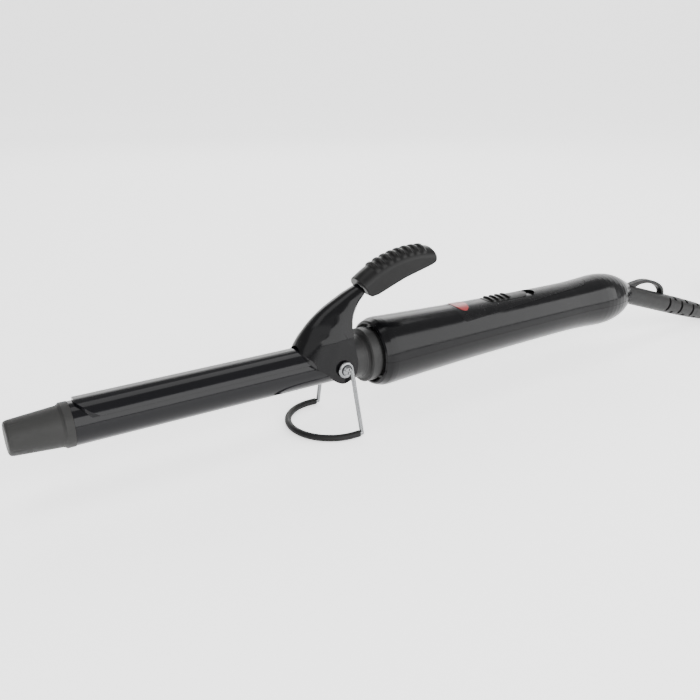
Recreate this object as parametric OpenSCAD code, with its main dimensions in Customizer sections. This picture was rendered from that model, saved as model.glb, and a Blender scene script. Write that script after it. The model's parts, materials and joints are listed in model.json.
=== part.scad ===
// Hair-curling iron with a sprung clamp, a wire stand and a swivelling mains lead.
// The iron is modelled along its own axis: +X from the cool tip to the handle, +Z up.
// It is then set down with the foot of its stand and its lead on the plane z = 0.

/* [Barrel] */
// Outside diameter of the heated tube
barrel_d = 19; // [16:0.5:19]
// Wall of the heated tube
barrel_wall = 0.8; // [0.6:0.1:1.0]
// Length of the cool tip past the tube
tip_len = 25; // [20:1:30]
// Number of soft flutes round the cool tip
tip_flutes = 8; // [6:1:10]

/* [Clamp] */
// Thickness of the curved clamp shell
spoon_t = 1.2; // [0.8:0.1:1.2]
// Half angle that the clamp shell covers, from the top
spoon_half_deg = 63; // [50:1:70]
// Number of cross ribs on the thumb grip
grip_ribs = 8; // [5:1:8]
// Width of the thumb grip
grip_w = 14; // [12:0.5:15]

/* [Hinge and stand] */
// Distance of the hinge from the front end of the tube
hinge_x = 124.8; // [124:0.1:126]
// Diameter of the stand's wire
wire_d = 2.1; // [1.8:0.1:2.2]
// Drop from the hinge to the middle of the foot's wire
stand_drop = 31; // [30.5:0.5:32]
// Half width of the foot, to the middle of the wire
foot_half = 21.6; // [21.2:0.1:22]
// Reach of the foot in front of the legs
foot_reach = 26.4; // [25:0.1:27]
// Distance of the foot's bends behind the hinge
foot_back = 4; // [1.5:0.5:4.5]

/* [Handle] */
// Wall of the handle's shells
shell_t = 2.2; // [1.8:0.1:2.4]
// Travel of the slide switch
switch_travel = 4.5; // [3:0.5:4.5]

/* [Lead] */
// Diameter of the round two-core mains lead
cord_d = 5.8; // [5.4:0.1:6]
// Droop of the strain relief below the handle's axis
relief_droop = 18; // [16:0.5:18]
// Length of the straight runs in the folded lead
hank_run = 95; // [90:1:98]

/* [Hidden] */
$fn = 64;
gap = 0.1;
far = 60;

// The iron at rest: turned by rest_tilt about Y and moved, so that its foot is at z = 0.
rest_tilt = 0.4;
rest_x = -205.2;
rest_z = 31.48;

// Tube and what is in it
barrel_r = barrel_d / 2;
bore_r = barrel_r - barrel_wall;
core_r = bore_r - gap;
tube_end = 152;

// Clamp shell
spoon_in = barrel_r + 0.15;
spoon_out = spoon_in + spoon_t;
spoon_front = 2.2;
spoon_back = 116;

// Hinge, across the barrel
hinge_z = 0.3;
ear_in = spoon_out + gap;
ear_t = 1.25;
ear_out = ear_in + ear_t;
ear_r = 7.6;
shoulder_r = 2;
thread_r = 1.25;
thread_tip = 5.5;
eye_y = ear_out + gap + wire_d / 2;
head_y = eye_y + wire_d / 2 + gap;
eye_r = shoulder_r + 0.05 + wire_d / 2;
clamp_range = 23;

// Thumb lever in side view: [along, up]
lever_top = [
    [102.6, 11.4], [104.8, 15.0], [108, 18.6], [112, 22.6], [117, 26.4], [123, 29.7],
    [130, 32.8], [135, 34.9], [139.8, 37]
];
lever_back = [
    [142, 33.1], [139, 31.8], [135, 28.6], [132.3, 23], [131.2, 17], [131.6, 11], [132.4, 4]
];
lever_foot = [[132.4, -6], [119, -6], [113.5, 0.5], [106, 5.2], [102.6, 8.6]];
lever_wall = 1.7;
roof_z = 12.6;
rivet_x = [109, 113.4];
tongue_t = 2.6;
tongue_w = 7;

// Thumb grip in side view: [along, up]
grip_top = [[137.6, 40.9], [137.6, 56], [180.4, 56]];
grip_end = [[181.4, 50.4], [182.4, 48.6], [182.8, 46.6], [182.6, 44.8], [181.8, 43.4]];
grip_bottom = [
    [179.6, 42.5], [173, 40.7], [168, 39.4], [163, 38], [158, 36.2], [153, 34.3], [148, 32.4],
    [144, 31.7], [142.4, 32.6]
];
// Arc that the grip's crown follows: its centre, its radius and the ribs on it
arc_x = 172;
arc_z = -5.7;
arc_r = 57.2;
rib_h = 1.1;
rib_from = 114.5;
rib_step = 4.2;
rib_sweep = 2;
rib_depth = 3.5;

// Torsion spring under the lever
spring_wire = 0.9;
spring_r = 2.2;
spring_turns = 6;
spring_x = 127.5;
spring_z = 13.4;

// Handle in side view: [along, radius]
nose_x = 146.4;
nose_r = 15.5;
nose_edge = [147.1, 16.4];
handle_line = [
    [150, 17.5], [153, 17.75], [160, 17.45], [175, 16.85], [195, 16.1], [215, 15.5],
    [240, 14.95], [265, 14.55], [285, 14.4], [297, 14.8], [307, 15.4], [314, 15.35],
    [321, 14.4], [327, 12.6], [332, 10.2], [335, 8.7]
];
handle_steps = 2;
cavity_from = 151.6;
cavity_to = 325;
mouth_r = 8;
collar_mouth_r = 14.9;
flange_r = 13.65;
waist_r = 12.5;
lock_r = 14.5;
neck_r = 10.5;
pad_r = 4.4;

// Inlay on top of the handle
panel_front = 197.4;
panel_half = 12;
panel_corner = 3;
panel_back = 298;
panel_nose = 6;
panel_t = 1.3;
panel_gap = 0.25;
lens_x = 203.4;
lens_rx = 4.3;
lens_ry = 7;

// Slide switch
slot_front = 220.5;
slot_back = 257.5;
slot_half = 5.2;
slider_front = 221.4;
slider_back = 251.6;
slider_half = 4.7;
slider_t = 1.15;
slider_ribs = 4;
slider_pitch = 4;
slider_rib_first = 224.4;
stem_x = 232;

// Board
board_z = 4;
board_t = 1.6;
board_front = 197;
board_back = 262;
board_half = 9;

// Shell screws, along the handle
screw_x = [188, 286];
post_r = 3.2;
screw_r = 1.15;

// Wires between the heater and the board
wire_y = 4.6;
wire_z = -4.6;
lead_r = 0.9;

// Front ends of the two sprung brushes on the swivel's slip rings
brush_x = [296, 302.4];

// Swivel and strain relief
pivot_x = 335.5;
ball_x = 332.4;
ball_r = 7.6;
stem_r = 3.5;
washer_r = 7;
relief_r = 5.8;
relief_line = [[-1.9, 5.8], [44, 5.85], [64, 5.8], [80, 5.5], [90, 5.0], [96, 4.5]];
relief_end = 96;
slot_pitch = 14;
slot_first = 46;
slot_pairs = 4;
slot_core = 3.7;
nose_len = 8;
nose_turn = 10;
loop_w = 4.4;

// Route of the lead from the strain relief to the hank, and from the hank to the plug
cord_r = cord_d / 2;
cord_route = [
    [229, 0, 3.8], [235, 0, 3.4], [242, 0.4, 3.2], [248, 1.6, 3.2], [254, 3.8, 3.3], [260, 7, 3.5],
    [266, 11, 3.8], [272, 15.2, 3.9], [278, 19, 4], [284, 21.8, 4], [290, 23.2, 4], [296, 23.4, 4]
];
tail_route = [
    [400, 17.6, 15.6], [406, 17.6, 15.6], [412, 17.4, 15.4], [418, 16.6, 14.6], [424, 15, 13],
    [430, 13, 10.9], [436, 11, 9], [442, 9.6, 7.7], [448, 9, 7]
];

// Folded lead: a run on each side and round folds at both ends
hank_x = 352;
hank_in = 17.6;
hank_out = 23.4;
hank_low = 1.1;
hank_layers = 3;
tie_w = 14;
tie_t = 1;

// Flat two-pin plug
plug_x = 448;
plug_y = 9;
plug_len = 34;
plug_w = 35.3;
plug_h = 13.7;
pin_r = 2;
pin_len = 19;
pin_gap = 18.6;

// A smooth line through points, by Catmull-Rom pieces
function before(p, i) = i > 0 ? p[i - 1] : 2 * p[0] - p[1];
function after(p, i) = i < len(p) ? p[i] : 2 * p[len(p) - 1] - p[len(p) - 2];
function piece(a, b, c, d, t) =
    0.5 * (2 * b + (c - a) * t + (2 * a - 5 * b + 4 * c - d) * t * t + (3 * b - a - 3 * c + d) * t * t * t);
function smooth(p, steps) = [
    for (i = [0 : len(p) - 2])
        for (k = [0 : steps - 1])
            piece(before(p, i), p[i], p[i + 1], after(p, i + 2), k / steps),
    p[len(p) - 1]
];

// The handle's outline, and its radius at one place along it
handle_curve = smooth(handle_line, handle_steps);
function radius_at(x) = lookup(x, handle_curve);

// Rings of a round tube swept along a line
function along(p, i) =
    let (v = p[min(i + 1, len(p) - 1)] - p[max(i - 1, 0)])
    v / norm(v);
function ring(p, i, r, sides) =
    let (
        d = along(p, i),
        a = cross([0, 0, 1], d) / norm(cross([0, 0, 1], d)),
        b = cross(d, a)
    )
    [for (k = [0 : sides - 1]) p[i] + r * (cos(360 * k / sides) * a + sin(360 * k / sides) * b)];

// The iron's resting place
module set_down() {
    translate([rest_x, 0, rest_z]) rotate([0, -rest_tilt, 0]) children();
}

// Turns what stands along Z to lie along X
module along_x() {
    rotate([0, 90, 0]) children();
}

module rod_x(x0, x1, r) {
    translate([x0, 0, 0]) along_x() cylinder(h = x1 - x0, r = r);
}

module rod_y(y0, y1, r) {
    translate([0, y0, 0]) rotate([-90, 0, 0]) cylinder(h = y1 - y0, r = r);
}

// A round body about X from an outline of [along, radius] points
module turned(line) {
    along_x() rotate_extrude() polygon([for (p = line) [p[1], p[0]]]);
}

// A side view of [along, up] points, given a width across
module side_plate(outline, width) {
    translate([0, width / 2, 0]) rotate([90, 0, 0]) linear_extrude(width) polygon(outline);
}

module both_sides() {
    children();
    mirror([0, 1, 0]) children();
}

// The handle's outer form, larger by grow
module handle_form(grow = 0) {
    turned(concat(
        [[nose_x, 0], [nose_x, nose_r + grow], nose_edge + [0, grow]],
        [for (p = handle_curve) [p[0], p[1] + grow]],
        [[335, 0]]
    ));
}

// The hollow in the handle's shells
module handle_hollow() {
    turned(concat(
        [[cavity_from, 0], [cavity_from, radius_at(cavity_from) - shell_t]],
        [for (p = handle_curve) if (p[0] > cavity_from && p[0] < cavity_to) [p[0], p[1] - shell_t]],
        [[cavity_to, mouth_r + gap], [cavity_to, 0]]
    ));
    rod_x(nose_x - 1, 149.6, collar_mouth_r);
    rod_x(149, cavity_from + 1, waist_r + gap);
    rod_x(cavity_to - 1, 336, mouth_r);
}

// Outline of the inlay in plan
module panel_plan(grow = 0) {
    hull() {
        translate([panel_front + panel_corner, panel_half - panel_corner])
            circle(r = panel_corner + grow, $fn = 32);
        translate([panel_front + panel_corner, panel_corner - panel_half])
            circle(r = panel_corner + grow, $fn = 32);
        translate([panel_back - panel_nose, 0]) circle(r = panel_nose + grow, $fn = 32);
    }
}

// A slot with round ends in plan
module slot_plan(x0, x1, half) {
    translate([x0 + half, 0]) circle(r = half);
    translate([x1 - half, 0]) circle(r = half);
    translate([x0 + half, -half]) square([x1 - x0 - 2 * half, 2 * half]);
}

module lens_plan(grow = 0) {
    translate([lens_x, 0]) scale([lens_rx + grow, lens_ry + grow]) circle(r = 1, $fn = 48);
}

// The layer of the handle's top between two depths below its surface
module top_layer(high, low) {
    intersection() {
        difference() {
            handle_form(high);
            handle_form(low);
        }
        translate([nose_x, -far, 2]) cube([200, 2 * far, far]);
    }
}

// ---- Barrel and tip ----

module cool_tip() {
    color("#474745") set_down() difference() {
        turned([
            [-tip_len, 0], [-tip_len, 6.1], [-24.7, 6.8], [-24.1, 7.2], [-23.2, 7.4],
            [-4.4, 8.8], [-3.6, 9.2], [-3.2, 9.65], [0, 9.65], [0, core_r], [12, core_r], [12, 0]
        ]);
        for (k = [0 : tip_flutes - 1])
            rotate([(k + 0.5) * 360 / tip_flutes, 0, 0])
                translate([-tip_len - 2, 0, 10.35]) rotate([0, 85.9, 0])
                    cylinder(h = 20.5, r1 = 3.4, r2 = 3.0);
        // hollow behind the plug
        rod_x(2, 13, 6.5);
    }
}

module barrel_tube() {
    color("#1c1d20") set_down() difference() {
        rod_x(0.1, tube_end, barrel_r);
        rod_x(-1, tube_end + 1, bore_r);
        // the hinge screws pass through the wall
        translate([hinge_x, 0, hinge_z]) rod_y(-far, far, thread_r + gap);
    }
}

module heat_shoes() {
    color("silver") set_down() difference() {
        rod_x(14, 108, core_r);
        translate([13, -far, -2.6]) cube([96, 2 * far, 5.2]);
    }
}

module ptc_tablets() {
    color("#b9b4a6") set_down()
        for (k = [0 : 2])
            translate([18 + k * 26, -6, -1]) cube([22, 12, 2]);
}

module electrode_strips() {
    color("#c8b060") set_down() {
        translate([16, -5.5, 1]) cube([92, 11, 0.4]);
        translate([107, 3.5, 1]) cube([7.5, 2, 0.4]);
        translate([16, -5.5, -1.4]) cube([92, 11, 0.4]);
        translate([107, -5.5, -1.4]) cube([7.5, 2, 0.4]);
    }
}

module mica_plates() {
    color("#cdbf9a") set_down() {
        translate([14, -7, 1.4]) cube([94, 14, 1.15]);
        translate([14, -7, -2.55]) cube([94, 14, 1.15]);
    }
}

module hinge_block() {
    color("#8a8578") set_down() difference() {
        rod_x(117, 132, core_r);
        both_sides() translate([0, wire_y, wire_z]) rod_x(116, 133, lead_r + 0.3);
        both_sides() translate([hinge_x, 0, hinge_z]) rod_y(thread_tip - 1, far, thread_r + 0.02);
    }
}

module barrel_collar() {
    color("#3b3b3a") set_down() difference() {
        union() {
            turned([
                [127.2, 9], [127.2, neck_r], [138.4, neck_r], [139.6, 10.9], [140.2, 11.7],
                [140.4, 12.9], [141, flange_r], [145.8, flange_r], [145.8, waist_r],
                [151.8, waist_r], [151.8, lock_r], [154.6, lock_r], [154.6, 11.4], [160, 11.4],
                [160, 9]
            ]);
            // a flat pad on each side under the lever's ears
            both_sides() translate([hinge_x, 0, hinge_z]) rod_y(8.6, spoon_out, pad_r);
        }
        rod_x(115, 161, barrel_r + 0.02);
        translate([hinge_x, 0, hinge_z]) rod_y(-far, far, thread_r + gap);
    }
}

// One shoulder screw: thread in the block, shoulder through the ear and the stand's eye
module hinge_screw() {
    difference() {
        union() {
            rod_y(thread_tip, ear_in, thread_r);
            rod_y(ear_in - gap, head_y + 0.01, shoulder_r);
            rod_y(head_y, head_y + 0.7, 2.5);
            translate([0, head_y + 0.7, 0]) rotate([-90, 0, 0]) cylinder(h = 0.7, r1 = 2.5, r2 = 1.8);
        }
        for (a = [0, 90])
            translate([0, head_y + 1, 0]) rotate([0, a + 20, 0]) translate([-1.5, -0.1, -0.25])
                cube([3, 1, 0.5]);
    }
}

module hinge_screws() {
    color("silver") set_down() translate([hinge_x, 0, hinge_z]) both_sides() hinge_screw();
}

// ---- Clamp ----

module clamp_spoon() {
    color("#1a1b1e") set_down() difference() {
        rod_x(spoon_front, spoon_back, spoon_out);
        rod_x(spoon_front - 1, spoon_back + 1, spoon_in);
        // the shell covers only the top of the barrel
        both_sides() rotate([90 - spoon_half_deg, 0, 0]) translate([-1, 0, -far]) cube([130, far, far]);
        translate([-1, -far, -far]) cube([130, 2 * far, far + 2]);
        // the front edge curves back on each side
        both_sides() linear_extrude(20) polygon(concat(
            smooth([[spoon_front, 3.2], [3.4, 5.1], [6.1, 7.8], [8.3, 8.9], [10.2, 9.6], [13, 10.9]], 3),
            [[-2, 10.9], [-2, 3.2]]
        ));
        // rivets
        for (x = rivet_x) translate([x, 0, 5]) cylinder(h = roof_z, r = 1.05);
    }
}

module spoon_rivets() {
    color("#55565a") set_down()
        for (x = rivet_x)
            translate([x, 0, 0]) {
                translate([0, 0, spoon_in + 0.2]) cylinder(h = roof_z - spoon_in, r = 1);
                translate([0, 0, roof_z + 0.02]) cylinder(h = 0.7, r = 1.9);
            }
}

// The lever's outer form: a ridge that widens into two flanks, narrower by inset
module lever_form(inset = 0) {
    intersection() {
        side_plate(concat(
            [for (p = smooth(lever_top, 2)) p - [0, inset]],
            lever_back,
            lever_foot
        ), 40);
        // seen from the front: narrow at the neck, upright at the ears
        rotate([90, 0, 90]) linear_extrude(200) polygon([
            [ear_out - inset, -7], [ear_out - inset, 6], [11.2 - inset, 13.5], [9.4 - inset, 20],
            [6.8 - inset, 27], [4.9 - inset, 32.6], [3.9 - inset, 37], [3.4 - inset, 42],
            [inset - 3.4, 42], [inset - 3.9, 37], [inset - 4.9, 32.6], [inset - 6.8, 27],
            [inset - 9.4, 20], [inset - 11.2, 13.5], [inset - ear_out, 6], [inset - ear_out, -7]
        ]);
        // seen from above: a rounded toe
        linear_extrude(2 * far, center = true) polygon([
            [102, 4 - inset], [103.2, 6.4 - inset], [105.6, 8.7 - inset], [109, 10.7 - inset],
            [113, 12 - inset], [116, 12.6 - inset], [150, 12.6 - inset], [150, inset - 12.6],
            [116, inset - 12.6], [113, inset - 12], [109, inset - 10.7], [105.6, inset - 8.7],
            [103.2, inset - 6.4], [102, inset - 4]
        ]);
    }
}

module lever_arm() {
    color("#17181b") set_down() difference() {
        union() {
            difference() {
                lever_form();
                // hollow under the ridge
                lever_form(lever_wall);
                rod_x(100, 150, ear_in);
                // the flanks end along the ear's round lobe
                translate([hinge_x, 0, hinge_z]) difference() {
                    translate([-30, -far, -20]) cube([60, 2 * far, 17]);
                    rod_y(-far, far, ear_r);
                }
            }
            // roof of the toe, which the shell is riveted to
            difference() {
                intersection() {
                    lever_form();
                    translate([102, -8, 0]) cube([14.5, 16, roof_z]);
                }
                rod_x(100, 150, spoon_out + 0.05);
            }
            both_sides() translate([hinge_x, 0, hinge_z]) rod_y(ear_in, ear_out, ear_r);
            // tongue that carries the grip
            intersection() {
                side_plate([
                    [133, 32.5], [141, 36.2], [150, 39.6], [160, 42.7], [172, 45.3], [172, 42.7],
                    [160, 40], [150, 36.6], [141, 32.9], [136, 30.2]
                ], tongue_w);
                translate([120, -far, 0]) cube([60, 2 * far, far]);
            }
        }
        translate([hinge_x, 0, hinge_z]) {
            rod_y(-far, far, shoulder_r + 0.05);
            // room for the collar's pads
            rod_y(-ear_in, ear_in, pad_r + 0.3);
        }
        for (x = rivet_x) translate([x, 0, 5]) cylinder(h = roof_z, r = 1.05);
        for (x = rivet_x) translate([x, 0, roof_z]) cylinder(h = 5, r = 2.1);
    }
}

// A bar that is bent along the grip's arc: its crown's radius r, half width half and depth deep
module grip_arc(top, r, half, deep, from, sweep) {
    translate([arc_x, 0, arc_z]) rotate([90, 0, 0]) rotate([0, 0, from]) rotate_extrude(angle = sweep)
        intersection() {
            union() {
                translate([top - r, 0]) circle(r = r);
                translate([top - 30, -half]) square([30 - r, 2 * half]);
            }
            translate([top - deep, -half]) square([deep + 1, 2 * half]);
        }
}

module thumb_grip() {
    color("#202020") set_down() difference() {
        union() {
            intersection() {
                side_plate(concat(grip_top, grip_end, grip_bottom), grip_w + 1);
                grip_arc(arc_r, 7.6, grip_w / 2, 30, 60, 80);
            }
            for (k = [0 : grip_ribs - 1])
                grip_arc(arc_r + rib_h, 6.4, 5.9, rib_depth, rib_from - k * rib_step, rib_sweep);
        }
        // socket for the lever's tongue
        side_plate([
            [133, 32.6], [141, 36.3], [150, 39.7], [160, 42.8], [172.2, 45.4], [172.2, 42.6],
            [160, 39.9], [150, 36.5], [141, 32.8], [136, 30.1]
        ], tongue_w + 0.2);
    }
}

module clamp_spring() {
    color("#c4c6ca") set_down() translate([spring_x, 0, spring_z]) {
        for (k = [0 : spring_turns - 1])
            translate([0, (k - (spring_turns - 1) / 2) * spring_wire, 0]) rotate([90, 0, 0])
                rotate_extrude() translate([spring_r, 0]) circle(r = spring_wire / 2 + 0.01);
        // one leg lies back on the collar, the other reaches up under the lever's ridge
        translate([0, 2.2, -spring_r]) rod_x(0, 10.6, spring_wire / 2);
        translate([-spring_r, -2.2, 0]) rotate([0, 8, 0]) cylinder(h = 15.2, r = spring_wire / 2);
    }
}

// ---- Stand ----

// The stand is turned about its hinge, so that its foot lies flat at rest
module stand_pose() {
    set_down() translate([hinge_x, 0, hinge_z]) rotate([0, rest_tilt, 0]) children();
}

module link(a, b, r) {
    d = b - a;
    translate(a) rotate([0, acos(d[2] / norm(d)), atan2(d[1], d[0])]) cylinder(h = norm(d), r = r);
}

// The foot in plan: a short straight on each side, then half a circle
module foot_line(r, inner = 0) {
    straight = foot_reach - foot_half;
    both_sides() translate([foot_back - straight, foot_half, -stand_drop]) difference() {
        rod_x(0, straight, r);
        if (inner > 0) rod_x(-1, straight + 1, inner);
    }
    translate([foot_back - straight, 0, -stand_drop]) rotate([0, 0, 90]) rotate_extrude(angle = 180)
        translate([foot_half, 0]) difference() {
            circle(r = r);
            if (inner > 0) circle(r = inner);
        }
}

module stand_wire() {
    color("#c9ccd1") stand_pose() {
        both_sides() {
            translate([0, eye_y, 0]) rotate([90, 0, 0]) rotate_extrude() translate([eye_r, 0])
                circle(r = wire_d / 2);
            link([eye_r, eye_y, 0], [foot_back, foot_half, -stand_drop], wire_d / 2);
            translate([foot_back, foot_half, -stand_drop]) sphere(r = wire_d / 2 + 0.05);
        }
        foot_line(wire_d / 2);
    }
}

module stand_sleeve() {
    color("#161616") stand_pose() difference() {
        foot_line(1.65, wire_d / 2 + 0.02);
        // cut back to clear the bends
        translate([foot_back - 1.5, -far, -far]) cube([far, 2 * far, far]);
    }
}

// ---- Handle ----

module handle_shell() {
    difference() {
        handle_form();
        handle_hollow();
    }
    // webs that hold the swivel's washer
    for (x = [313.4, 319.4])
        difference() {
            rod_x(x, x + 2, radius_at(x + 2) - 1);
            rod_x(x - 1, x + 3, x < 316 ? stem_r + 0.1 : 5.2);
        }
    for (x = screw_x)
        translate([x, 0, 1 - radius_at(x)]) cylinder(h = 2 * radius_at(x) - 2, r = post_r);
}

module handle_upper() {
    color("#141416") set_down() difference() {
        union() {
            handle_shell();
            // posts that the board is pushed up against
            for (x = [212, 256])
                both_sides() translate([x, 7.2, board_z + board_t]) cylinder(h = 6, r = 1.3);
        }
        translate([140, -far, -far]) cube([200, 2 * far, far + 0.05]);
        // seat for the inlay
        intersection() {
            top_layer(1, -panel_t - gap);
            linear_extrude(far) panel_plan(panel_gap);
        }
        // well for the slider, and the slit for its stem
        intersection() {
            top_layer(1, -slider_t - 0.3);
            linear_extrude(far) slot_plan(slot_front, slot_back, slot_half);
        }
        translate([stem_x - 2.4, -2, 6]) cube([4.8 + switch_travel, 4, 14]);
        linear_extrude(far) translate([lens_x, 0]) circle(r = 2.2);
        for (x = screw_x) translate([x, 0, -1]) cylinder(h = 9, r = screw_r + 0.02);
    }
}

module handle_lower() {
    color("#141416") set_down() difference() {
        handle_shell();
        translate([140, -far, -0.05]) cube([200, 2 * far, far]);
        for (x = screw_x) {
            translate([x, 0, -20]) cylinder(h = 21, r = screw_r + 0.2);
            translate([x, 0, -20]) cylinder(h = 14, r = 2.6);
        }
    }
}

module handle_screws() {
    color("#8b8d92") set_down()
        for (x = screw_x)
            translate([x, 0, -6]) difference() {
                union() {
                    translate([0, 0, -1.6]) cylinder(h = 1.6, r = 2.3);
                    cylinder(h = 12, r = screw_r);
                }
                for (a = [0, 90]) rotate([0, 0, a]) translate([-1.4, -0.25, -2]) cube([2.8, 0.5, 1.2]);
            }
}

module control_panel() {
    color("#111113") set_down() difference() {
        intersection() {
            top_layer(0, -panel_t);
            linear_extrude(far) panel_plan();
        }
        linear_extrude(far) lens_plan(0.05);
        linear_extrude(far) slot_plan(slot_front, slot_back, slot_half);
    }
}

module led_lens() {
    color("#a02828") set_down() intersection() {
        top_layer(0.25, -panel_t);
        linear_extrude(far) lens_plan();
    }
}

module switch_slider() {
    color("#151517") set_down() {
        intersection() {
            top_layer(0, -slider_t);
            linear_extrude(far) slot_plan(slider_front, slider_back, slider_half);
        }
        intersection() {
            top_layer(0.9, -slider_t / 2);
            for (k = [0 : slider_ribs - 1])
                translate([slider_rib_first + k * slider_pitch, -3.9, 0]) cube([1.2, 7.8, far]);
        }
        translate([stem_x - 1.8, -1.6, 10.8]) cube([3.6, 3.2, radius_at(stem_x) - 11.4]);
    }
}

module circuit_board() {
    color("#2f5a34") set_down() difference() {
        translate([board_front, -board_half, board_z])
            cube([board_back - board_front, 2 * board_half, board_t]);
        both_sides() translate([board_front + 3, wire_y, 0]) cylinder(h = 12, r = 1);
        both_sides() translate([board_back - 3, wire_y, 0]) cylinder(h = 12, r = 1);
    }
}

module led_lamp() {
    color("#d9c9c4") set_down() translate([lens_x, 0, board_z + board_t]) {
        cylinder(h = 1, r = 1.9);
        cylinder(h = 4.4, r = 1.5);
        translate([0, 0, 4.4]) sphere(r = 1.5);
    }
}

module switch_body() {
    color("#2a2a2c") set_down() difference() {
        translate([stem_x - 9, -4, board_z + board_t]) cube([22, 8, 6.6]);
        // groove that the slider's stem runs in
        translate([stem_x - 2.2, -2, board_z + board_t + 4.9]) cube([4.4 + switch_travel, 4, 4]);
    }
}

// One wire that runs level and turns up to the board at end_x
module level_wire(x0, x1, end_x) {
    rod_x(x0, x1, lead_r);
    translate([end_x, 0, 0]) cylinder(h = board_z - wire_z, r = lead_r);
    for (x = [x0, end_x]) translate([x, 0, 0]) sphere(r = lead_r + 0.02);
}

module heater_leads() {
    color("#b8322c") set_down() {
        both_sides() translate([0, wire_y, wire_z]) level_wire(113.3, board_front + 3, board_front + 3);
        // risers that meet the two strips from below
        translate([113.3, wire_y, wire_z]) cylinder(h = 1 - wire_z, r = lead_r);
        translate([113.3, -wire_y, wire_z]) cylinder(h = -1.4 - wire_z, r = lead_r);
    }
}

module thermal_fuse() {
    color("#d8d4c6") set_down() translate([0, wire_y, wire_z]) difference() {
        rod_x(164, 176, 1.9);
        rod_x(163, 177, lead_r + 0.02);
    }
}

module supply_leads() {
    color("#30312f") set_down() {
        translate([0, wire_y, wire_z]) level_wire(board_back - 3, brush_x[0], board_back - 3);
        translate([0, -wire_y, wire_z]) level_wire(board_back - 3, brush_x[1], board_back - 3);
    }
}

module brush_contacts() {
    color("#c9a24c") set_down() {
        translate([brush_x[0], 4.5, -6]) cube([5.2, 0.5, 12]);
        translate([brush_x[1], -5, -6]) cube([5.2, 0.5, 12]);
    }
}

// ---- Swivel and lead ----

// Axis of the strain relief: u along it, drooping from the pivot
module relief_axis() {
    set_down() translate([pivot_x, 0, 0]) rotate([0, relief_droop, 0]) children();
}

module swivel_stem() {
    color("#1b1b1c") difference() {
        set_down() {
            rod_x(292, 317, stem_r);
            rod_x(315.7, 319.1, washer_r);
            rod_x(319, 328, 4.9);
            translate([ball_x, 0, 0]) sphere(r = ball_r);
        }
        relief_axis() rod_x(-2, 30, relief_r);
    }
}

module slip_rings() {
    color("#c9a24c") set_down()
        for (x = brush_x + [1, 1])
            difference() {
                rod_x(x, x + 3.2, 4.3);
                rod_x(x - 1, x + 5, stem_r + 0.02);
            }
}

module relief_form() {
    turned(concat([[-1.9, 0]], relief_line, [[relief_end, 0]]));
}

// A sleeve with slots, which are cut from the sides and from above and below in turn
module strain_relief() {
    color("#262626") relief_axis() {
        difference() {
            relief_form();
            for (k = [0 : slot_pairs - 1])
                translate([slot_first + k * slot_pitch, 0, 0]) {
                    both_sides() translate([-1.1, slot_core, -9]) cube([2.2, 5, 18]);
                    translate([slot_pitch / 2, 0, 0]) for (side = [0, 180])
                        rotate([side, 0, 0]) translate([-1.4, -9, slot_core]) cube([2.8, 18, 5]);
                }
        }
        translate([relief_end, 0, 0]) rotate([0, -nose_turn, 0]) along_x() {
            translate([0, 0, -1.5]) cylinder(h = 1.5, r = 4.4);
            cylinder(h = nose_len, r1 = 4.4, r2 = 3.7);
        }
    }
}

module hang_loop() {
    outer = smooth([[1.5, 5.4], [7, 7.6], [13, 10.2], [19, 11.9], [26, 12.4], [33, 11.6], [38.4, 9.2],
        [41, 5.4]], 3);
    inner = smooth([[38.6, 5.4], [37, 7.6], [32.6, 9.6], [26, 10.3], [19.6, 9.8], [13.6, 8], [9.4, 5.4]], 3);
    color("#262626") relief_axis() difference() {
        side_plate(concat(outer, inner), loop_w);
        relief_form();
    }
}

// A round lead swept along its route
module lead_tube(route) {
    sides = 10;
    n = len(route);
    points = [for (i = [0 : n - 1]) each ring(route, i, cord_r, sides)];
    walls = [
        for (i = [0 : n - 2])
            for (k = [0 : sides - 1])
                [i * sides + k, i * sides + (k + 1) % sides, (i + 1) * sides + (k + 1) % sides,
                    (i + 1) * sides + k]
    ];
    first = [for (k = [sides - 1 : -1 : 0]) k];
    last = [for (k = [0 : sides - 1]) (n - 1) * sides + k];
    polyhedron(points, concat(walls, [first, last]));
}

module cord() {
    color("#1d1d1d") lead_tube(cord_route);
}

module cord_tail() {
    color("#1d1d1d") lead_tube(tail_route);
}

// A ring with straight sides: both runs and both folds, seen from above
module run_plan(r) {
    translate([-hank_run / 2, 0]) circle(r = r);
    translate([hank_run / 2, 0]) circle(r = r);
    translate([-hank_run / 2, -r]) square([hank_run, 2 * r]);
}

module cord_hank() {
    color("#1d1d1d") translate([hank_x, 0, hank_low]) linear_extrude(hank_layers * cord_d)
        difference() {
            run_plan(hank_out + cord_r);
            run_plan(hank_in - cord_r);
        }
}

module cord_tie() {
    half = hank_out + cord_r + gap;
    high = hank_low + hank_layers * cord_d + gap;
    color("#111111") translate([hank_x - tie_w / 2, 0, 0]) difference() {
        translate([0, -half - tie_t, 0]) cube([tie_w, 2 * half + 2 * tie_t, high + tie_t]);
        translate([-1, -half, tie_t]) cube([tie_w + 2, 2 * half, high - tie_t]);
    }
}

module plug_body() {
    color("#1a1a1a") translate([plug_x, plug_y, plug_h / 2]) {
        hull() {
            translate([plug_len - 1, 0, 0]) along_x() linear_extrude(1) offset(r = 3, $fn = 32)
                square([plug_h - 6, plug_w - 6], center = true);
            translate([plug_len - 16, 0, 0]) along_x() linear_extrude(1) offset(r = 3, $fn = 32)
                square([plug_h - 6, plug_w - 9], center = true);
            translate([6, 0, 0]) along_x() linear_extrude(1) circle(r = 5.2, $fn = 32);
        }
        along_x() cylinder(h = 8, r1 = 3.6, r2 = 4.8);
    }
}

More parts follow.
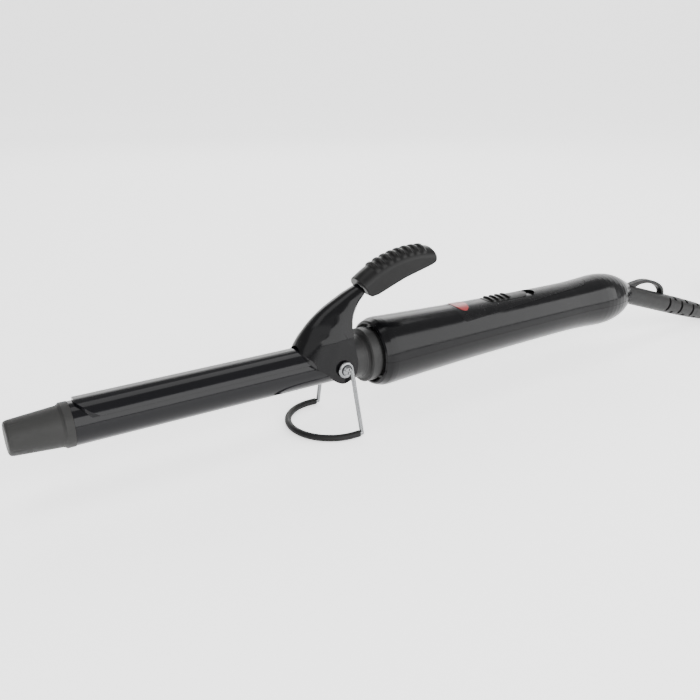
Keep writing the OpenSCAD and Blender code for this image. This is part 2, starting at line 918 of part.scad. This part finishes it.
module plug_pins() {
    color("#c8cacd") translate([plug_x + plug_len, plug_y, plug_h / 2])
        for (side = [-1, 1])
            translate([0, side * pin_gap / 2, 0]) {
                rod_x(0, pin_len - 1, pin_r);
                translate([pin_len - 1, 0, 0]) along_x() cylinder(h = 1, r1 = pin_r, r2 = 1.2);
            }
}

cool_tip();
barrel_tube();
heat_shoes();
ptc_tablets();
electrode_strips();
mica_plates();
hinge_block();
barrel_collar();
hinge_screws();
clamp_spoon();
spoon_rivets();
lever_arm();
thumb_grip();
clamp_spring();
stand_wire();
stand_sleeve();
handle_upper();
handle_lower();
handle_screws();
control_panel();
led_lens();
switch_slider();
circuit_board();
led_lamp();
switch_body();
heater_leads();
thermal_fuse();
supply_leads();
brush_contacts();
swivel_stem();
slip_rings();
strain_relief();
hang_loop();
cord();
cord_hank();
cord_tie();
cord_tail();
plug_body();
plug_pins();
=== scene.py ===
"""The looks of a curling iron: its camera, lead, softened mouldings, lever, materials and studio."""

import json
import math

import bmesh
import bpy
from mathutils import Matrix, Vector

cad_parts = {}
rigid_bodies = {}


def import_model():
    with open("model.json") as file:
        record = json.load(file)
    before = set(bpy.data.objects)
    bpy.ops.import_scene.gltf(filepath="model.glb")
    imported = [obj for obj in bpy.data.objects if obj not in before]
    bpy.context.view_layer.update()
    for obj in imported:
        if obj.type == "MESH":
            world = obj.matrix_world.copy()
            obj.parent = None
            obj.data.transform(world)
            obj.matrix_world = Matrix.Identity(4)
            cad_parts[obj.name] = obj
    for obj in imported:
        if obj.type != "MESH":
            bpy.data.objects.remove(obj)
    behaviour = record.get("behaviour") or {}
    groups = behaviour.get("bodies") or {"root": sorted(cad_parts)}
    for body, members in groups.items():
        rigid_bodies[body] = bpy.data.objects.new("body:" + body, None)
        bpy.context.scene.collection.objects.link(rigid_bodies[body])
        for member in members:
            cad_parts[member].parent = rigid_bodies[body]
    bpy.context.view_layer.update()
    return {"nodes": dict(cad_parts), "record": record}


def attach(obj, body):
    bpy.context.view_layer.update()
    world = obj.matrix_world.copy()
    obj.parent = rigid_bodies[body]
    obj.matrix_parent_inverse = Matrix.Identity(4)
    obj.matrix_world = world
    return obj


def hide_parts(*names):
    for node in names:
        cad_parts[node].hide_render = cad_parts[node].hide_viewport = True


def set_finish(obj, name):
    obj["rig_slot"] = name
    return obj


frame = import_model()
NODES = frame["nodes"]
BODY_OF = {n: b for b, names in frame["record"]["behaviour"]["bodies"].items() for n in names}
SLOT_OF = {s["node"]: s["material_slot"] for s in frame["record"]["subparts"]}

# ---- Camera ----

CAMERA_AT = Vector((-0.2561, -0.2980, 0.1739))
CAMERA_AZIMUTH = -32.0
CAMERA_ELEVATION = 21.39
CAMERA_ROLL = 0.17
CAMERA_LENS = 39.1


def make_camera():
    """A camera that looks down along the iron from in front of its tip."""
    data = bpy.data.cameras.new("camera")
    data.lens = CAMERA_LENS
    data.sensor_width = 36
    data.clip_start = 0.01
    camera = bpy.data.objects.new("camera", data)
    a, e = math.radians(CAMERA_AZIMUTH), math.radians(CAMERA_ELEVATION)
    back = Vector((math.sin(a) * math.cos(e), -math.cos(a) * math.cos(e), math.sin(e)))
    turn = (-back).to_track_quat("-Z", "Y").to_matrix().to_4x4()
    roll = Matrix.Rotation(math.radians(CAMERA_ROLL), 4, "Z")
    camera.matrix_world = Matrix.Translation(CAMERA_AT) @ turn @ roll
    bpy.context.collection.objects.link(camera)
    bpy.context.scene.camera = camera


make_camera()

# ---- Mesh helpers ----


def add_object(name, mesh):
    obj = bpy.data.objects.new(name, mesh)
    bpy.context.collection.objects.link(obj)
    return obj


def add_mesh(name, points, faces, sharp_deg=40):
    """A new object from points and faces, shaded smooth except at sharp edges."""
    mesh = bpy.data.meshes.new(name)
    mesh.from_pydata([tuple(p) for p in points], [], faces)
    mesh.validate()
    bm = bmesh.new()
    bm.from_mesh(mesh)
    bmesh.ops.recalc_face_normals(bm, faces=bm.faces)
    bm.to_mesh(mesh)
    bm.free()
    smooth(mesh, sharp_deg)
    return add_object(name, mesh)


def smooth(mesh, sharp_deg=40):
    mesh.shade_smooth()
    mesh.set_sharp_from_angle(angle=math.radians(sharp_deg))


def apply_modifiers(obj):
    """Replaces the object's mesh by what its modifiers make of it."""
    bpy.context.view_layer.update()
    ready = obj.evaluated_get(bpy.context.evaluated_depsgraph_get())
    mesh = bpy.data.meshes.new_from_object(ready)
    obj.modifiers.clear()
    obj.data = mesh


def place(obj, body, slot, *replaced):
    """Puts a new piece on its body, names its finish and hides the CAD solids it stands for."""
    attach(obj, body)
    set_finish(obj, slot)
    if replaced:
        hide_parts(*replaced)
    return obj


def curve_through(points, steps):
    """Catmull-Rom points through the given ones."""
    p = [Vector(q) for q in points]
    p = [2 * p[0] - p[1]] + p + [2 * p[-1] - p[-2]]
    out = []
    for i in range(1, len(p) - 2):
        a, b, c, d = p[i - 1 : i + 3]
        for k in range(steps):
            t = k / steps
            out.append(0.5 * (2 * b + (c - a) * t + (2 * a - 5 * b + 4 * c - d) * t * t
                              + (3 * b - a - 3 * c + d) * t * t * t))
    return out + [p[-2]]


def tube(name, path, radius, sides=14):
    """A round tube along a path. Its rings turn with the path and never twist."""
    rings, points, faces = len(path), [], []
    side = Vector((0, 1, 0))
    for i, p in enumerate(path):
        ahead = (path[min(i + 1, rings - 1)] - path[max(i - 1, 0)]).normalized()
        side = (side - ahead * side.dot(ahead)).normalized()
        up = ahead.cross(side)
        for k in range(sides):
            t = 2 * math.pi * k / sides
            points.append(p + radius * (math.cos(t) * side + math.sin(t) * up))
    for i in range(rings - 1):
        for k in range(sides):
            n = (k + 1) % sides
            faces.append((i * sides + k, i * sides + n, (i + 1) * sides + n, (i + 1) * sides + k))
    faces.append(tuple(range(sides))[::-1])
    faces.append(tuple((rings - 1) * sides + k for k in range(sides)))
    return add_mesh(name, points, faces)


# ---- The lead ----

CORD_R = 0.0029
LEAD = [
    (0.229, 0, 0.0038), (0.235, 0, 0.0034), (0.242, 0.0004, 0.0032), (0.248, 0.0016, 0.0032),
    (0.254, 0.0038, 0.0033), (0.26, 0.007, 0.0035), (0.266, 0.011, 0.0038), (0.272, 0.0152, 0.0039),
    (0.278, 0.019, 0.004), (0.284, 0.0218, 0.004), (0.29, 0.0232, 0.004), (0.296, 0.0234, 0.004),
]
TAIL = [
    (0.406, 0.0176, 0.0156), (0.412, 0.0174, 0.0154), (0.418, 0.0166, 0.0146),
    (0.424, 0.015, 0.013), (0.43, 0.013, 0.0109), (0.436, 0.011, 0.009), (0.442, 0.0096, 0.0077),
    (0.448, 0.009, 0.007),
]
HANK_X = 0.352
HANK_RUN = 0.095
HANK_IN = 0.0176
HANK_OUT = 0.0234
LAYERS = (0.004, 0.0098, 0.0156)
# Radius and layer of each turn, from the first to the last
TURNS = [(HANK_OUT, 0), (HANK_IN, 0), (HANK_IN, 1), (HANK_OUT, 1), (HANK_OUT, 2), (HANK_IN, 2)]
# Where along its near run each turn starts to change over to the next, and for how long
CHANGES = [0.5, 0.375, 0.25, 0.125, 0.0]
CHANGE_SPAN = 0.5
RUN_STEPS = 16
FOLD_STEPS = 18
CHANGE_STEPS = 24


def ease(t):
    t = min(max(t, 0), 1)
    return t * t * (3 - 2 * t)


def hank_path():
    """Turns of the folded lead: far run, right fold, near run, left fold."""
    left, right = HANK_X - HANK_RUN / 2, HANK_X + HANK_RUN / 2
    path = []
    for turn, (radius, layer) in enumerate(TURNS):
        z = LAYERS[layer]
        path += [
            Vector((left + HANK_RUN * k / RUN_STEPS, radius, z)) for k in range(RUN_STEPS + 1)
        ]
        if turn == len(TURNS) - 1:
            break
        for k in range(1, FOLD_STEPS):
            a = math.pi / 2 - math.pi * k / FOLD_STEPS
            path.append(Vector((right + radius * math.cos(a), radius * math.sin(a), z)))
        following, layer_after = TURNS[turn + 1]
        for k in range(CHANGE_STEPS + 1):
            t = ease((k / CHANGE_STEPS - CHANGES[turn]) / CHANGE_SPAN)
            path.append(Vector((
                right - HANK_RUN * k / CHANGE_STEPS,
                -(radius + (following - radius) * t),
                z + (LAYERS[layer_after] - z) * t,
            )))
        for k in range(1, FOLD_STEPS):
            a = math.pi / 2 + math.pi * (FOLD_STEPS - k) / FOLD_STEPS
            path.append(Vector((
                left + following * math.cos(a), following * math.sin(a), LAYERS[layer_after],
            )))
    return path


def make_lead():
    path = curve_through(LEAD, 2) + hank_path() + [Vector(p) for p in TAIL]
    lead = tube("lead", path, CORD_R)
    place(lead, "swivel", "cord_black", "cord", "cord_hank", "cord_tail")


make_lead()

# ---- Softened mouldings ----


def softened(node, voxel, rounds):
    """A copy of a CAD node with its edges rounded, as a moulding has them."""
    obj = add_object(node + "_soft", NODES[node].data.copy())
    remesh = obj.modifiers.new("remesh", "REMESH")
    remesh.mode = "VOXEL"
    remesh.voxel_size = voxel
    relax = obj.modifiers.new("relax", "SMOOTH")
    relax.iterations = rounds
    relax.factor = 0.5
    apply_modifiers(obj)
    obj.data.shade_smooth()
    return place(obj, BODY_OF[node], SLOT_OF[node], node)


SOFT = {
    "thumb_grip": (0.00035, 4),
    "hang_loop": (0.0003, 4),
}
for node, (voxel, rounds) in SOFT.items():
    softened(node, voxel, rounds)

# ---- The lever ----

REST_X = -0.2052
REST_Z = 0.03148
REST_TILT = math.radians(0.4)
HINGE = (124.8, 0.3)
EAR_OUT = 12.2
EAR_WALL = 1.25
SPOON_CLEAR = 11.0
SCREW_HOLE = 2.05
# Side view in mm, [along, up]: the ridge and the lower and rear edge, from the toe to the neck
RIDGE = [
    (105.2, 12.2), (106.8, 15.4), (109.6, 19.1), (113, 22.6), (117, 25.9), (121.6, 28.9), (127, 31.7),
    (133, 34.6), (139.6, 37.2),
]
EDGE = [
    (104.8, 10.2), (106.6, 6), (111.2, 2.2), (116.2, -1.2), (118.6, -4.4), (124.8, -7.3),
    (130.9, -4.2), (132.4, 0.6), (132.2, 5.5), (131, 12), (131.4, 18), (133.4, 24), (136.4, 29),
    (140.6, 33.2),
]
# Half width of the flanks at each height: [up, half width]
FLANK = [(-8, 12.2), (14.9, 12.2), (20, 10.1), (26, 7.8), (31, 6.1), (35, 5.3), (40, 4.9)]
# The flat ear's front edge, from its top to its foot
EAR_FRONT = ((122.5, 14.9), (115.2, -2.0))
# In front of that edge the flanks narrow towards the toe: by slope, and by a square term
TOE_SLOPE = 0.12
TOE_CURVE = 0.024
# Depth of the ridge's rounding, as a share of the half width and within these limits
CROWN_SHARE = 0.95
CROWN_MIN = 2.2
CROWN_MAX = 7.5
# Strip along the rear edge, which turns inwards by so much for each mm
STRIP = 3.8
STRIP_TURN = 0.62
LEVER_COLUMNS = 96
LEVER_ROWS = 26
STRIP_ROWS = 5
# How far the half width eases in and out between the heights that give it
FLANK_EASE = 0.35


def rest(point):
    """A point of the iron's own frame, in mm, in the shared frame."""
    x, y, z = (c / 1000 for c in point)
    c, s = math.cos(REST_TILT), math.sin(REST_TILT)
    return Vector((REST_X + x * c - z * s, y, REST_Z + x * s + z * c))


def spaced(points, count):
    """count points at equal steps along the smooth line through the given ones."""
    line = curve_through([(x, z, 0) for x, z in points], 12)
    far = [0.0]
    for a, b in zip(line, line[1:]):
        far.append(far[-1] + (b - a).length)
    out, i = [], 0
    for k in range(count):
        want = far[-1] * k / (count - 1)
        while i < len(far) - 2 and far[i + 1] < want:
            i += 1
        t = (want - far[i]) / (far[i + 1] - far[i])
        out.append(line[i].lerp(line[i + 1], t))
    return out


def flank_width(z):
    """Half width of the flanks at a height, before the toe and the ridge narrow it."""
    if z <= FLANK[0][0]:
        return FLANK[0][1]
    for (z0, y0), (z1, y1) in zip(FLANK, FLANK[1:]):
        if z <= z1:
            t = (z - z0) / (z1 - z0)
            return y0 + (y1 - y0) * (ease(t) * FLANK_EASE + t * (1 - FLANK_EASE))
    return FLANK[-1][1]


def lever_point(top, low, v, strip):
    """One point on the near half of the lever's outside; v runs from the ridge to the edge."""
    span = (low - top).length
    at = top.lerp(low, v)
    x, z = at.x, at.y
    half = min(EAR_OUT, flank_width(z))
    (ax, az), (bx, bz) = EAR_FRONT
    ahead = ((bz - az) * (x - ax) - (bx - ax) * (z - az)) / math.hypot(bx - ax, bz - az)
    if ahead > 0:
        half -= TOE_SLOPE * ahead + TOE_CURVE * ahead * ahead
    crown = max(CROWN_MIN, min(CROWN_MAX, CROWN_SHARE * half))
    depth = min(1, v * span / crown)
    y = max(half, 0.6) * math.sqrt(1 - (1 - depth) ** 2)
    from_edge = (1 - v) * span
    if from_edge < strip:
        y -= STRIP_TURN * (strip - from_edge)
    if math.hypot(y, z) < SPOON_CLEAR:
        grow = SPOON_CLEAR / math.hypot(y, z)
        y, z = y * grow, z * grow
    return x, max(y, 0), z


def lever_steps(strip, span):
    """Steps from the ridge to the edge, closer at the ridge, with one at the strip's crease."""
    if strip == 0:
        return [(k / (LEVER_ROWS - 1)) ** 1.5 for k in range(LEVER_ROWS)]
    fold = 1 - strip / span
    above = LEVER_ROWS - 1 - STRIP_ROWS
    steps = [fold * (k / above) ** 1.7 for k in range(above)]
    return steps + [fold + (1 - fold) * k / STRIP_ROWS for k in range(STRIP_ROWS + 1)]


def lever_grid():
    """Points and faces of the lever's outside: a grid for the near half and its mirror image."""
    points, faces = [], []
    for top, low in zip(spaced(RIDGE, LEVER_COLUMNS), spaced(EDGE, LEVER_COLUMNS)):
        span = (low - top).length
        strip = min(STRIP * ease((low.y - 1) / 9), 0.3 * span) if low.x > HINGE[0] else 0
        points += [lever_point(top, low, v, strip) for v in lever_steps(strip, span)]
    near = len(points)
    points += [(x, -y, z) for x, y, z in points]
    for side in (0, near):
        for i in range(LEVER_COLUMNS - 1):
            for k in range(LEVER_ROWS - 1):
                a = side + i * LEVER_ROWS + k
                quad = (a, a + 1, a + LEVER_ROWS + 1, a + LEVER_ROWS)
                faces.append(quad if side == 0 else quad[::-1])
    return points, faces


def make_lever():
    """A thin saddle: a ridge that rises to the neck and two flanks that end in flat ears."""
    points, faces = lever_grid()
    mesh = bpy.data.meshes.new("lever")
    mesh.from_pydata([tuple(rest(p)) for p in points], [], faces)
    bm = bmesh.new()
    bm.from_mesh(mesh)
    bmesh.ops.remove_doubles(bm, verts=bm.verts, dist=0.00002)
    bmesh.ops.recalc_face_normals(bm, faces=bm.faces)
    bm.to_mesh(mesh)
    bm.free()
    lever = add_object("lever", mesh)
    wall = lever.modifiers.new("wall", "SOLIDIFY")
    wall.thickness = EAR_WALL / 1000
    wall.offset = -1
    wall.use_even_offset = False
    pin = tube("pin", [rest((HINGE[0], y, HINGE[1])) for y in (-30, 0, 30)], SCREW_HOLE / 1000, 48)
    hole = lever.modifiers.new("hole", "BOOLEAN")
    hole.object = pin
    hole.solver = "EXACT"
    apply_modifiers(lever)
    bpy.data.objects.remove(pin)
    smooth(lever.data, 22)
    place(lever, "clamp", "black_gloss", "lever_arm")


make_lever()

# ---- Materials ----


class Finish:
    """A procedural material: colour, roughness and bump that vary over the surface."""

    def __init__(self, name, rough, metallic=0.0, shine=0.5):
        self.material = bpy.data.materials.new(name)
        self.material.use_nodes = True
        self.tree = self.material.node_tree
        self.shader = self.tree.nodes["Principled BSDF"]
        self.shader.inputs["Roughness"].default_value = rough
        self.shader.inputs["Metallic"].default_value = metallic
        self.shader.inputs["Specular IOR Level"].default_value = shine
        self.place = self.node("ShaderNodeTexCoord").outputs["Object"]

    def node(self, kind, **settings):
        made = self.tree.nodes.new(kind)
        for key, value in settings.items():
            setattr(made, key, value)
        return made

    def link(self, a, b):
        self.tree.links.new(a, b)

    def noise(self, scale, detail=4.0, stretch=(1, 1, 1)):
        """Noise with features of about 1/scale metres."""
        mapping = self.node("ShaderNodeMapping")
        mapping.inputs["Scale"].default_value = stretch
        self.link(self.place, mapping.inputs["Vector"])
        texture = self.node("ShaderNodeTexNoise")
        texture.inputs["Scale"].default_value = scale
        texture.inputs["Detail"].default_value = detail
        self.link(mapping.outputs["Vector"], texture.inputs["Vector"])
        return texture.outputs["Fac"]

    def spread(self, value, low, high):
        """Maps noise to the range from low to high."""
        ramp = self.node("ShaderNodeMapRange")
        ramp.inputs["From Min"].default_value = 0.3
        ramp.inputs["From Max"].default_value = 0.7
        ramp.inputs["To Min"].default_value = low
        ramp.inputs["To Max"].default_value = high
        self.link(value, ramp.inputs["Value"])
        return ramp.outputs["Result"]

    def colour(self, base, value, change=0.2):
        mix = self.node("ShaderNodeMix", data_type="RGBA")
        self.link(value, mix.inputs[0])
        mix.inputs[6].default_value = (*[c * (1 - change) for c in base], 1)
        mix.inputs[7].default_value = (*[min(1, c * (1 + change)) for c in base], 1)
        self.link(mix.outputs[2], self.shader.inputs["Base Color"])

    def roughness(self, value, low, high):
        self.link(self.spread(value, low, high), self.shader.inputs["Roughness"])

    def bump(self, value, depth, strength=1.0):
        bump = self.node("ShaderNodeBump")
        bump.inputs["Distance"].default_value = depth
        bump.inputs["Strength"].default_value = strength
        self.link(value, bump.inputs["Height"])
        self.link(bump.outputs["Normal"], self.shader.inputs["Normal"])


def polished(name, base, rough, metallic=0.0, shine=0.5):
    """Gloss with faint handling marks and a very slight waviness."""
    f = Finish(name, rough, metallic, shine)
    cloud = f.noise(45, 3)
    f.colour(base, cloud, 0.08)
    f.roughness(f.noise(260, 6), rough * 0.8, rough * 1.25)
    f.bump(f.noise(1800, 2), 0.000004, 0.25)
    return f.material


def moulded(name, base, rough, grain=2600, depth=0.00003, shine=0.13):
    """Moulded plastic or rubber with an even spark-eroded grain."""
    f = Finish(name, rough, shine=shine)
    f.colour(base, f.noise(90, 4), 0.14)
    f.roughness(f.noise(400, 5), rough * 0.88, rough * 1.12)
    f.bump(f.noise(grain, 3), depth, 0.5)
    return f.material


def drawn(name, base, rough, stretch):
    """Drawn or brushed metal, streaked along one direction."""
    f = Finish(name, rough, 1.0)
    streak = f.noise(900, 4, stretch)
    f.colour(base, streak, 0.08)
    f.roughness(streak, rough * 0.7, rough * 1.4)
    f.bump(streak, 0.00001, 0.3)
    return f.material


def woven(name, base, pitch):
    """A woven band: two crossed sets of threads."""
    f = Finish(name, 0.85)
    waves = []
    for axis in ("X", "Y"):
        wave = f.node("ShaderNodeTexWave", bands_direction=axis)
        wave.inputs["Scale"].default_value = 0.314 / pitch
        wave.inputs["Distortion"].default_value = 0.6
        f.link(f.place, wave.inputs["Vector"])
        waves.append(wave.outputs["Fac"])
    cross = f.node("ShaderNodeMath", operation="MULTIPLY")
    f.link(waves[0], cross.inputs[0])
    f.link(waves[1], cross.inputs[1])
    f.colour(base, cross.outputs[0], 0.5)
    f.bump(cross.outputs[0], 0.0002, 0.8)
    return f.material


MATERIALS = {
    "tip_grey": moulded("tip_grey", (0.02, 0.02, 0.0195), 0.5, 1800, 0.00004),
    "dark_chrome": polished("dark_chrome", (0.003, 0.003, 0.0038), 0.12, shine=0.2),
    "aluminium": drawn("aluminium", (0.72, 0.73, 0.74), 0.35, (0.1, 1, 1)),
    "ceramic": moulded("ceramic", (0.72, 0.7, 0.62), 0.6),
    "brass": drawn("brass", (0.75, 0.58, 0.28), 0.3, (0.1, 1, 1)),
    "mica": moulded("mica", (0.6, 0.53, 0.38), 0.4, 900, 0.00002),
    "resin": moulded("resin", (0.4, 0.37, 0.32), 0.6),
    "collar_grey": moulded("collar_grey", (0.02, 0.02, 0.02), 0.42),
    "chrome": polished("chrome", (0.2, 0.205, 0.21), 0.16, 1.0),
    "steel": drawn("steel", (0.35, 0.35, 0.37), 0.35, (1, 1, 0.2)),
    "black_gloss": polished("black_gloss", (0.003, 0.003, 0.0034), 0.16, shine=0.16),
    "black_satin": moulded("black_satin", (0.006, 0.006, 0.006), 0.34, 2400, 0.00002),
    "spring_steel": drawn("spring_steel", (0.6, 0.6, 0.62), 0.25, (1, 0.3, 1)),
    "sleeve_black": moulded("sleeve_black", (0.008, 0.008, 0.008), 0.5, 1500, 0.00006),
    "panel_black": polished("panel_black", (0.003, 0.003, 0.0034), 0.24, shine=0.16),
    "lens_red": polished("lens_red", (0.2, 0.018, 0.02), 0.22, shine=0.3),
    "board_green": moulded("board_green", (0.05, 0.2, 0.08), 0.4),
    "lamp_clear": polished("lamp_clear", (0.8, 0.7, 0.68), 0.1),
    "wire_red": moulded("wire_red", (0.45, 0.04, 0.03), 0.5),
    "wire_black": moulded("wire_black", (0.03, 0.03, 0.03), 0.5),
    "relief_black": moulded("relief_black", (0.01, 0.01, 0.01), 0.42, 1600, 0.00004),
    "cord_black": moulded("cord_black", (0.01, 0.01, 0.01), 0.45, 1400, 0.00005),
    "tie_black": woven("tie_black", (0.02, 0.02, 0.02), 0.0008),
    "plug_black": moulded("plug_black", (0.016, 0.016, 0.016), 0.42, 1500, 0.00005),
    "pin_metal": drawn("pin_metal", (0.72, 0.71, 0.68), 0.25, (0.1, 1, 1)),
}


def dress():
    """Gives every CAD node and every new piece its material."""
    for name, obj in NODES.items():
        obj.data.materials.clear()
        obj.data.materials.append(MATERIALS[SLOT_OF[name]])
        smooth(obj.data, 32)
    for obj in bpy.data.objects:
        if obj.type == "MESH" and obj.get("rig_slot") and obj.name not in NODES:
            obj.data.materials.clear()
            obj.data.materials.append(MATERIALS[obj["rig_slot"]])


dress()

# ---- Studio ----

FLOOR_DEPTH = 1.6
SWEEP_R = 0.8
WALL_TOP = 2.4


def make_floor():
    """A pale floor that curves up into a wall behind the iron, square to the camera."""
    a = math.radians(CAMERA_AZIMUTH)
    ahead = Vector((-math.sin(a), math.cos(a), 0))
    across = Vector((math.cos(a), math.sin(a), 0))
    line = [(-3.0, 0.0), (FLOOR_DEPTH, 0.0)]
    line += [
        (FLOOR_DEPTH + SWEEP_R * math.sin(t), SWEEP_R * (1 - math.cos(t)))
        for t in [math.pi / 2 * k / 16 for k in range(1, 17)]
    ]
    line.append((FLOOR_DEPTH + SWEEP_R, WALL_TOP))
    points = [ahead * d + across * s + Vector((0, 0, h - 0.0002)) for d, h in line for s in (-4, 4)]
    faces = [(2 * i, 2 * i + 1, 2 * i + 3, 2 * i + 2) for i in range(len(line) - 1)]
    floor = add_mesh("studio_floor", points, faces, 60)
    f = Finish("studio_white", 0.7)
    f.colour((0.9, 0.9, 0.9), f.noise(6, 3), 0.01)
    f.bump(f.noise(300, 3), 0.0001, 0.1)
    f.shader.inputs["Emission Color"].default_value = (1, 1, 1, 1)
    f.shader.inputs["Emission Strength"].default_value = 1.2
    floor.data.materials.append(f.material)


def add_light(name, at, target, size, watts):
    """A soft rectangular light; size is its width and height."""
    data = bpy.data.lights.new(name, "AREA")
    data.shape = "RECTANGLE"
    data.size, data.size_y = size
    data.energy = watts
    light = add_object(name, data)
    light.location = at
    light.rotation_euler = (Vector(target) - Vector(at)).to_track_quat("-Z", "Y").to_euler()


def make_light():
    world = bpy.data.worlds.new("studio")
    world.use_nodes = True
    world.node_tree.nodes["Background"].inputs["Color"].default_value = (1, 1, 1, 1)
    world.node_tree.nodes["Background"].inputs["Strength"].default_value = 0.7
    bpy.context.scene.world = world
    add_light("top_light", (-0.05, 0.1, 0.9), (-0.02, 0, 0), (1.4, 0.35), 4)
    add_light("side_box", (0.35, -1.0, 0.52), (0.02, 0, 0.03), (2.2, 0.95), 34)
    add_light("front_fill", (-0.95, -0.8, 0.8), (0, 0, 0), (1.1, 1.1), 6)
    add_light("back_rim", (0.4, 1.0, 0.6), (0, 0, 0), (1.2, 0.4), 4)


make_floor()
make_light()
